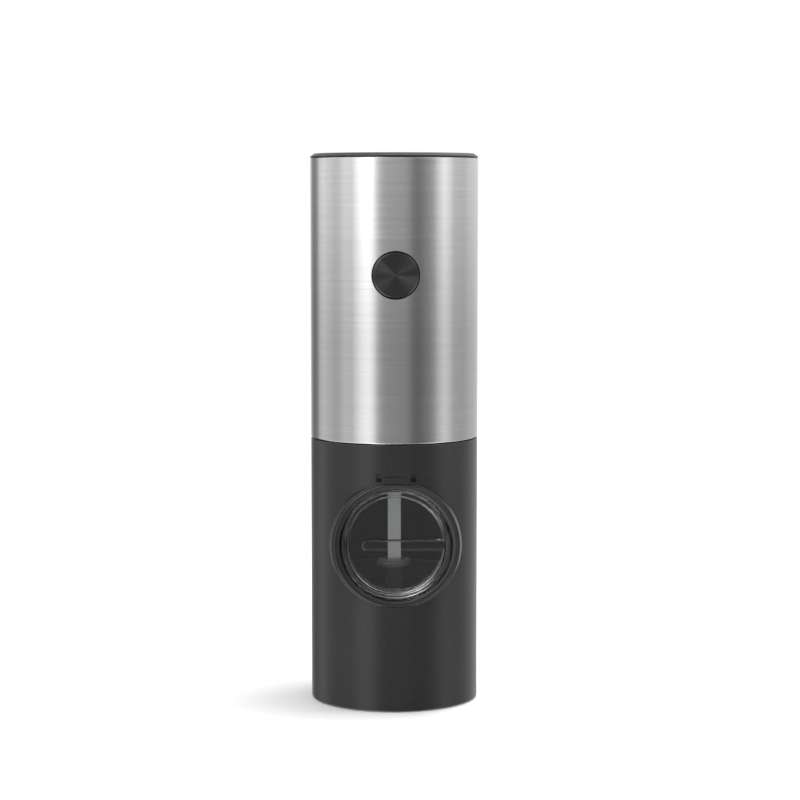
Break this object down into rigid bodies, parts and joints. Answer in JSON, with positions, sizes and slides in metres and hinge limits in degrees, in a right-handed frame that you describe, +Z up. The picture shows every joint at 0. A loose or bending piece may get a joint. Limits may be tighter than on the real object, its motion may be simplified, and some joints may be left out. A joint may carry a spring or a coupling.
{
  "type": "pepper mill",
  "caption": "Upright battery pepper mill: brushed steel motor half, black chamber with a round clear twist lid, push button and ceramic grinder in the base.",
  "frame": {"origin": "centre of the base, on the plane that the mill stands on", "axes": "+Z up along the mill's axis; the button and the filling lid face -Y; +X is to the right as seen from the front"},
  "size_m": [0.055, 0.055, 0.18],
  "materials": {
    "sleeve_steel": "fine horizontal brushing, satin",
    "body_black": "satin moulded plastic",
    "cap_black": "satin gloss",
    "collar_black": "gloss moulded plastic",
    "button_black": "circular spun, black anodised",
    "lid_clear": "clear moulded plastic",
    "seal_silicone": "translucent silicone",
    "seal_black": "matt",
    "inner_plastic": "moulded",
    "gear_plastic": "moulded acetal",
    "ceramic": "fired, fine grain",
    "plated_steel": "nickel plated",
    "spring_steel": "drawn wire",
    "brass": "machined",
    "bronze": "sintered",
    "copper": "varnished winding on laminations",
    "magnet": "sintered ferrite",
    "cell_skin": "printed sleeve, plain",
    "board_green": "solder mask"
  },
  "bodies": {
    "housing": {"chamber_body": "body_black", "window_collar": "collar_black", "burr_holder": "inner_plastic", "stator_burr": "ceramic", "burr_bridge": "inner_plastic", "base_screw_1": "plated_steel", "base_screw_2": "plated_steel", "base_screw_3": "plated_steel", "chassis": "inner_plastic", "steel_sleeve": "sleeve_steel", "chamber_ceiling": "inner_plastic", "shaft_seal": "seal_silicone", "gearbox_housing": "gear_plastic", "output_bush": "bronze", "gearbox_cover": "gear_plastic", "gearbox_screw_1": "plated_steel", "gearbox_screw_2": "plated_steel", "gearbox_screw_3": "plated_steel", "motor_can": "plated_steel", "motor_magnet": "magnet", "motor_end_cap": "gear_plastic", "button_guide": "inner_plastic", "button_spring": "spring_steel", "switch_board": "board_green", "switch_body": "inner_plastic"},
    "lid_plug": {"lid_seal": "seal_silicone"},
    "lid": {"window_lid": "lid_clear"},
    "output": {"output_carrier": "gear_plastic", "drive_shaft": "plated_steel", "shaft_disc": "inner_plastic", "burr_spring": "spring_steel"},
    "rotor": {"rotor_burr": "ceramic"},
    "adjuster": {"adjuster_knob": "inner_plastic"},
    "first_stage": {"first_carrier": "gear_plastic"},
    "motor_rotor": {"armature": "copper", "motor_shaft": "plated_steel", "motor_pinion": "brass"},
    "output_planet_a": {"output_planet_1": "gear_plastic"},
    "output_planet_b": {"output_planet_2": "gear_plastic"},
    "output_planet_c": {"output_planet_3": "gear_plastic"},
    "first_planet_a": {"first_planet_1": "gear_plastic"},
    "first_planet_b": {"first_planet_2": "gear_plastic"},
    "first_planet_c": {"first_planet_3": "gear_plastic"},
    "cartridge": {"battery_holder": "inner_plastic", "battery_1": "cell_skin", "battery_2": "cell_skin", "battery_3": "cell_skin", "battery_4": "cell_skin", "battery_spring_1": "spring_steel", "battery_spring_2": "spring_steel", "battery_spring_3": "spring_steel", "battery_spring_4": "spring_steel"},
    "cap": {"top_cap": "cap_black", "cap_seal": "seal_black"},
    "push_button": {"button": "button_black", "switch_plunger": "gear_plastic"}
  },
  "joints": [
    {"name": "button_press", "type": "slide", "parent": "housing", "child": "push_button", "axis": [0, 1, 0], "range_m": [0, 0.0012], "stiffness_N_per_m": 900, "deforming": ["button_spring"]},
    {"name": "lid_pull", "type": "slide", "parent": "housing", "child": "lid_plug", "axis": [0, -1, 0], "range_m": [0, 0.02]},
    {"name": "lid_turn", "type": "hinge", "parent": "lid_plug", "child": "lid", "pos_m": [0, -0.0235, 0.0543], "axis": [0, -1, 0], "range_deg": [0, 30]},
    {"name": "shaft_spin", "type": "hinge", "parent": "housing", "child": "output", "pos_m": [0, 0, 0.05], "axis": [0, 0, 1], "continuous": true},
    {"name": "burr_gap", "type": "slide", "parent": "output", "child": "rotor", "axis": [0, 0, 1], "range_m": [0, 0.00105], "deforming": ["burr_spring"]},
    {"name": "adjuster_turn", "type": "hinge", "parent": "rotor", "child": "adjuster", "pos_m": [0, 0, 0.004], "axis": [0, 0, 1], "range_deg": [0, 545]},
    {"name": "first_stage_spin", "type": "hinge", "parent": "housing", "child": "first_stage", "pos_m": [0, 0, 0.098], "axis": [0, 0, 1], "continuous": true},
    {"name": "motor_spin", "type": "hinge", "parent": "housing", "child": "motor_rotor", "pos_m": [0, 0, 0.11], "axis": [0, 0, 1], "continuous": true},
    {"name": "output_planet_a_spin", "type": "hinge", "parent": "output", "child": "output_planet_a", "pos_m": [0.009, 0, 0.0949], "axis": [0, 0, 1], "continuous": true},
    {"name": "output_planet_b_spin", "type": "hinge", "parent": "output", "child": "output_planet_b", "pos_m": [-0.0045, 0.00779, 0.0949], "axis": [0, 0, 1], "continuous": true},
    {"name": "output_planet_c_spin", "type": "hinge", "parent": "output", "child": "output_planet_c", "pos_m": [-0.0045, -0.00779, 0.0949], "axis": [0, 0, 1], "continuous": true},
    {"name": "first_planet_a_spin", "type": "hinge", "parent": "first_stage", "child": "first_planet_a", "pos_m": [0.009, 0, 0.1005], "axis": [0, 0, 1], "continuous": true},
    {"name": "first_planet_b_spin", "type": "hinge", "parent": "first_stage", "child": "first_planet_b", "pos_m": [-0.0045, 0.00779, 0.1005], "axis": [0, 0, 1], "continuous": true},
    {"name": "first_planet_c_spin", "type": "hinge", "parent": "first_stage", "child": "first_planet_c", "pos_m": [-0.0045, -0.00779, 0.1005], "axis": [0, 0, 1], "continuous": true},
    {"name": "cartridge_lift", "type": "slide", "parent": "housing", "child": "cartridge", "axis": [0, 0, 1], "range_m": [0, 0.06]},
    {"name": "cap_lift", "type": "slide", "parent": "cartridge", "child": "cap", "axis": [0, 0, 1], "range_m": [0, 0.015]}
  ],
  "couplings": [
    {"joint": "adjuster_turn", "follows": "burr_gap", "rad_per_m": 8976},
    {"joint": "first_stage_spin", "follows": "shaft_spin", "ratio": 5},
    {"joint": "motor_spin", "follows": "shaft_spin", "ratio": 25},
    {"joint": "output_planet_a_spin", "follows": "shaft_spin", "ratio": -2.6667},
    {"joint": "output_planet_b_spin", "follows": "shaft_spin", "ratio": -2.6667},
    {"joint": "output_planet_c_spin", "follows": "shaft_spin", "ratio": -2.6667},
    {"joint": "first_planet_a_spin", "follows": "shaft_spin", "ratio": -13.333},
    {"joint": "first_planet_b_spin", "follows": "shaft_spin", "ratio": -13.333},
    {"joint": "first_planet_c_spin", "follows": "shaft_spin", "ratio": -13.333}
  ]
}
